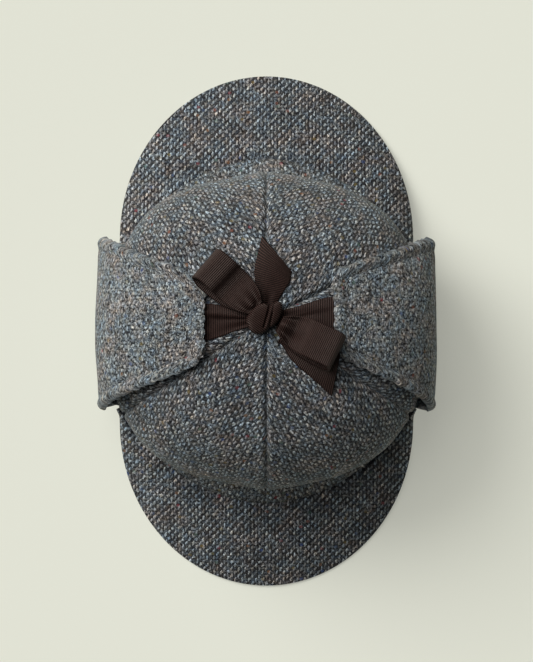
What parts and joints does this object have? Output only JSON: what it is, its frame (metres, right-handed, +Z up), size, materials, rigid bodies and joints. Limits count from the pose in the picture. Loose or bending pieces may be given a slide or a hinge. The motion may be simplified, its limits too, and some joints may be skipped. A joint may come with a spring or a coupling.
{
  "type": "deerstalker hat",
  "caption": "Tweed deerstalker hat with peaks at front and back, its ear flaps folded up over the crown and tied on top in a ribbon bow.",
  "frame": {"origin": "on the surface that the hat stands on, under the middle of its bounding box", "axes": "+Z up, -Y towards the front peak, -X towards the wearer's right ear flap"},
  "size_m": [0.2094, 0.3256, 0.1447],
  "materials": {
    "tweed": "coarse grey wool tweed, matt, with flecks of many colours",
    "ribbon": "dark brown grosgrain, with a faint sheen"
  },
  "bodies": {
    "root": {"crown": "tweed", "band": "tweed", "front_peak": "tweed", "back_peak": "tweed", "right_ear_flap": "tweed", "left_ear_flap": "tweed", "right_tie": "ribbon", "left_tie": "ribbon", "right_loop": "ribbon", "left_loop": "ribbon", "back_tail": "ribbon", "front_tail": "ribbon", "knot": "ribbon"}
  },
  "joints": []
}
